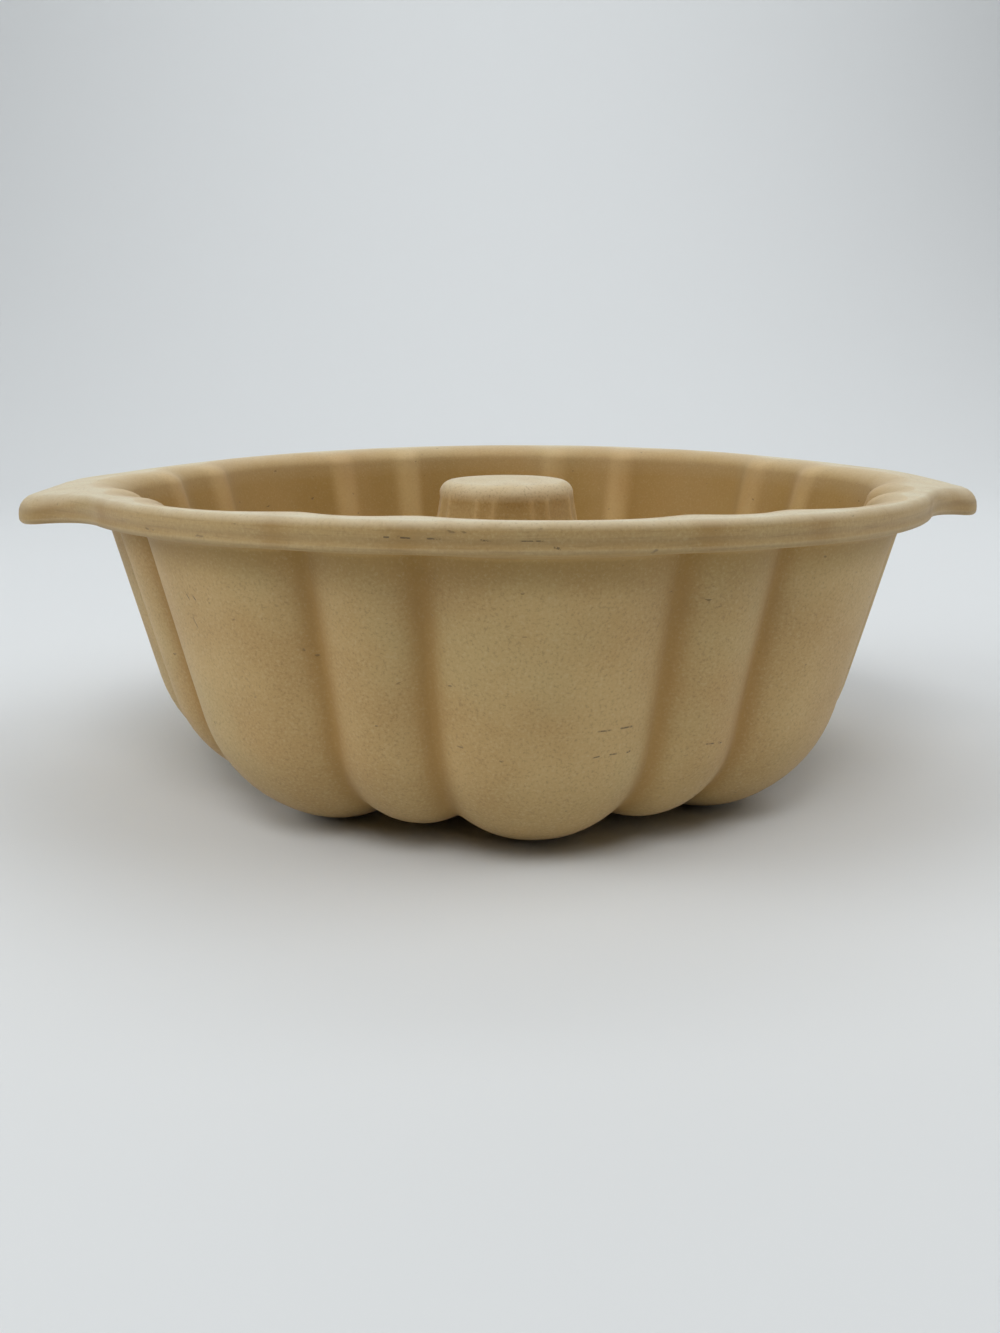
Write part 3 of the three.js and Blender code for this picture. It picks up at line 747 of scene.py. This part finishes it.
    # grain fades under the painted shade in the grooves and the crease
    underPaintedShade = addNode(tree, "ShaderNodeMath", (grooveShadeShare, creaseShade), operation="MAXIMUM")
    bare = addNode(tree, "ShaderNodeMapRange",
                   (underPaintedShade, 0.0, shares["groove"], bare, shares["coveredGrain"]))
    gritShare = addNode(tree, "ShaderNodeMapRange", (fine, *levels["grit"], 0.0, bare), **soft)
    body = addNode(tree, "ShaderNodeMix", {0: gritShare, 6: body, 7: colour["grit"]}, **tint)
    grogShare = addNode(tree, "ShaderNodeMapRange", (fine, *levels["grog"], 0.0, bare), **soft)
    body = addNode(tree, "ShaderNodeMix", {0: grogShare, 6: body, 7: colour["grog"]}, **tint)

    # small pits that sponging has dragged round the pan
    dragged = addNode(tree, "ShaderNodeMath", (along, clayLook["drawn"]["pit"]), operation="MULTIPLY")
    wiped = addNode(tree, "ShaderNodeCombineXYZ", (dragged, radius, axes[2]))
    pits = addNode(tree, "ShaderNodeTexNoise",
                   {"Vector": wiped, "Scale": 1 / (sizes["pit"] * mm), "Detail": 1.0})
    pit = addNode(tree, "ShaderNodeMapRange", (pits, *levels["pit"]), **soft)
    pitShare = addNode(tree, "ShaderNodeMath", (pit, shares["pit"]), operation="MULTIPLY")
    body = addNode(tree, "ShaderNodeMix", {0: pitShare, 6: body, 7: colour["scuff"]}, **tint)

    # fine lines wiped round the rim's edge, and dust in the shallow parting line
    drawn = addNode(tree, "ShaderNodeMath", (along, clayLook["drawn"]["streak"]), operation="MULTIPLY")
    lines = addNode(tree, "ShaderNodeCombineXYZ", (drawn, 0.0, axes[2]))
    streak = addNode(tree, "ShaderNodeTexNoise", {"Vector": lines, "Scale": 1 / (sizes["streak"] * mm)})
    streak = addNode(tree, "ShaderNodeMapRange", (streak, *levels["streak"], 0.0, shares["streak"]), **soft)
    fromLine = addNode(tree, "ShaderNodeMath", (marks["gap"],), operation="ABSOLUTE")
    onEdge = addNode(tree, "ShaderNodeMapRange", (fromLine, *sizes["streakReach"]), **soft)
    streak = addNode(tree, "ShaderNodeMath", (streak, onEdge), operation="MULTIPLY")
    dust = addNode(tree, "ShaderNodeMapRange", (fromLine, *sizes["dustReach"], 0.0, shares["dust"]), **soft)
    streak = addNode(tree, "ShaderNodeMath", (streak, dust), operation="ADD")
    body = addNode(tree, "ShaderNodeMix", {0: streak, 6: body, 7: colour["grog"]}, **tint)

    # scratches, which skip over the grain and fade at their ends
    worn = 0.0
    for turn, height, length, width, tilt in scuffs:
        offset = addNode(tree, "ShaderNodeMath", (angle, math.radians(turn)), operation="SUBTRACT")
        aside = addNode(tree, "ShaderNodeMath", (offset, radius), operation="MULTIPLY")
        above = addNode(tree, "ShaderNodeMath", (axes[2], height * mm), operation="SUBTRACT")
        lean = math.tan(math.radians(tilt))
        across = addNode(tree, "ShaderNodeMath", (aside, lean, above), operation="MULTIPLY_ADD")
        across = addNode(tree, "ShaderNodeMath", (across,), operation="ABSOLUTE")
        across = addNode(tree, "ShaderNodeMapRange", (across, width * mm, width * mm / 3), **soft)
        within = addNode(tree, "ShaderNodeMath", (aside,), operation="ABSOLUTE")
        within = addNode(tree, "ShaderNodeMapRange", (within, length * mm / 2, length * mm / 3), **soft)
        scratch = addNode(tree, "ShaderNodeMath", (across, within), operation="MULTIPLY")
        worn = addNode(tree, "ShaderNodeMath", (worn, scratch), operation="MAXIMUM")
    skips = addNode(tree, "ShaderNodeMapRange", (fine, *levels["scuff"], 0.0, shares["scuff"]), **soft)
    worn = addNode(tree, "ShaderNodeMath", (worn, skips), operation="MULTIPLY")
    worn = addNode(tree, "ShaderNodeMath", (worn, marks["outside"]), operation="MULTIPLY")
    body = addNode(tree, "ShaderNodeMix", {0: worn, 6: body, 7: colour["scuff"]}, **tint)

    # grain stands up a little, and pits are sunk
    sunk = -sizes["pitDepth"] / sizes["grainDepth"]
    relief = addNode(tree, "ShaderNodeMath", (pit, sunk, fine), operation="MULTIPLY_ADD")
    bump = addNode(tree, "ShaderNodeBump", {"Height": relief, "Distance": sizes["grainDepth"] * mm})
    skin = addNode(tree, "ShaderNodeBsdfPrincipled", {"Base Color": body, "Normal": bump, **clayLook["skin"]})
    addNode(tree, "ShaderNodeOutputMaterial", (skin,))
    print("stoneware mixed:", len(tree.nodes), "nodes")
    return clay


pan = pressPan(turnBlank(), unglazedStoneware())
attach(pan, "root")
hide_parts("fluted_wall", "trough_floor", "center_tube", "rim", "left_handle", "right_handle")

stageLook = {
    "paper": "#e3e7e9",
    "roughness": 0.95,
    "specular": 0.1,
    "front": -1.25,          # metres from the pan
    "back": 1.9,
    "bend": 1.1,
    "bendSteps": 25,
    "height": 3.0,
    "half": 1.5,
}


# Pale paper that runs under the pan and sweeps up behind it
def paperSweep():
    bend, back = stageLook["bend"], stageLook["back"]
    turns = np.linspace(0, math.pi / 2, stageLook["bendSteps"])
    profile = [(stageLook["front"], 0.0)]
    profile += [(back - bend + bend * math.sin(t), bend - bend * math.cos(t)) for t in turns]
    profile.append((back, stageLook["height"]))
    points = [(side * stageLook["half"], y, z) for y, z in profile for side in (-1, 1)]
    faces = [(2 * i, 2 * i + 1, 2 * i + 3, 2 * i + 2) for i in range(len(profile) - 1)]
    mesh = bpy.data.meshes.new("paperSweep")
    mesh.from_pydata(points, [], faces)
    mesh.shade_smooth()
    paper = bpy.data.materials.new("mattPaper")
    paper.use_nodes = True
    skin = paper.node_tree.nodes["Principled BSDF"]
    skin.inputs["Base Color"].default_value = hexColour(stageLook["paper"])
    skin.inputs["Roughness"].default_value = stageLook["roughness"]
    skin.inputs["Specular IOR Level"].default_value = stageLook["specular"]
    mesh.materials.append(paper)
    sweep = bpy.data.objects.new("paperSweep", mesh)
    bpy.context.scene.collection.objects.link(sweep)
    return sweep


paperSweep()

panMiddle = (0.0, 0.0, 0.05)   # metres

lightLook = {
    "worldColour": "#f4f8fb",
    "worldStrength": 0.005,
    "roomStrength": 0.68,    # walls of the room, as the camera sees them past the paper
    "lamps": (               # name, place, aim, width, power, colour; metres and watts
        ("overhead", (0.0, -0.1, 1.7), (0.0, -0.1, 0.0), 2.6, 10.4, "#fdfeff"),
        ("softboxLeft", (-1.0, -0.4, 1.45), panMiddle, 1.2, 4.6, "#ffffff"),
        ("softboxRight", (1.0, -0.4, 1.45), panMiddle, 1.2, 6.6, "#fdfeff"),
        ("softboxFront", (-0.25, -1.0, 1.4), panMiddle, 0.7, 5.7, "#fffdfb"),
        ("windowLeft", (-1.45, -0.2, 0.85), panMiddle, 0.9, 6.6, "#fcfeff"),
        ("windowRight", (1.5, 0.05, 0.65), panMiddle, 1.5, 3.8, "#fffdfb"),
        ("backdropWash", (0.25, 0.8, 1.5), (0.25, 1.9, 0.5), 1.7, 9.4, "#ffffff"),
    ),
}


def lightStudio():
    world = bpy.data.worlds.new("studio")
    world.use_nodes = True
    tree = world.node_tree
    tree.nodes.clear()
    seen = addNode(tree, "ShaderNodeLightPath", out="Is Camera Ray")
    strength = addNode(tree, "ShaderNodeMapRange",
                       (seen, 0.0, 1.0, lightLook["worldStrength"], lightLook["roomStrength"]))
    room = addNode(tree, "ShaderNodeBackground", (hexColour(lightLook["worldColour"]), strength))
    addNode(tree, "ShaderNodeOutputWorld", (room,))
    bpy.context.scene.world = world
    for name, place, aim, width, power, colour in lightLook["lamps"]:
        lamp = bpy.data.lights.new(name, "AREA")
        lamp.shape, lamp.size, lamp.energy = "DISK", width, power
        lamp.color = hexColour(colour)[:3]
        holder = bpy.data.objects.new(name, lamp)
        bpy.context.scene.collection.objects.link(holder)
        holder.location = place
        toward = np.array(aim) - np.array(place)
        holder.rotation_euler = (math.atan2(math.hypot(*toward[:2]), -toward[2]), 0,
                                 math.atan2(toward[1], toward[0]) - math.pi / 2)


lightStudio()

cameraPlace = {
    "aside": -0.0380,        # metres from the pan's axis
    "back": -0.3965,
    "height": 0.1290,
    "pitch": 14.01,          # degrees below the horizon
    "heading": 5.18,         # degrees to the right of straight ahead
    "focal": 1212.7,         # pixels of the 1000 by 1333 frame
    "longSide": 1333,
    "sensor": 36.0,          # millimetres
    "clip": (0.01, 50.0),
}


def placeCamera():
    lens = bpy.data.cameras.new("photoView")
    lens.sensor_width = cameraPlace["sensor"]
    lens.lens = cameraPlace["focal"] * lens.sensor_width / cameraPlace["longSide"]
    lens.clip_start, lens.clip_end = cameraPlace["clip"]
    camera = bpy.data.objects.new("photoView", lens)
    bpy.context.scene.collection.objects.link(camera)
    camera.location = cameraPlace["aside"], cameraPlace["back"], cameraPlace["height"]
    tilt, turn = math.radians(90 - cameraPlace["pitch"]), math.radians(-cameraPlace["heading"])
    camera.rotation_euler = tilt, 0, turn
    bpy.context.scene.camera = camera


placeCamera()
bpy.context.scene.view_settings.view_transform = "Standard"
print("stage, lamps and camera placed")

bpy.context.view_layer.update()
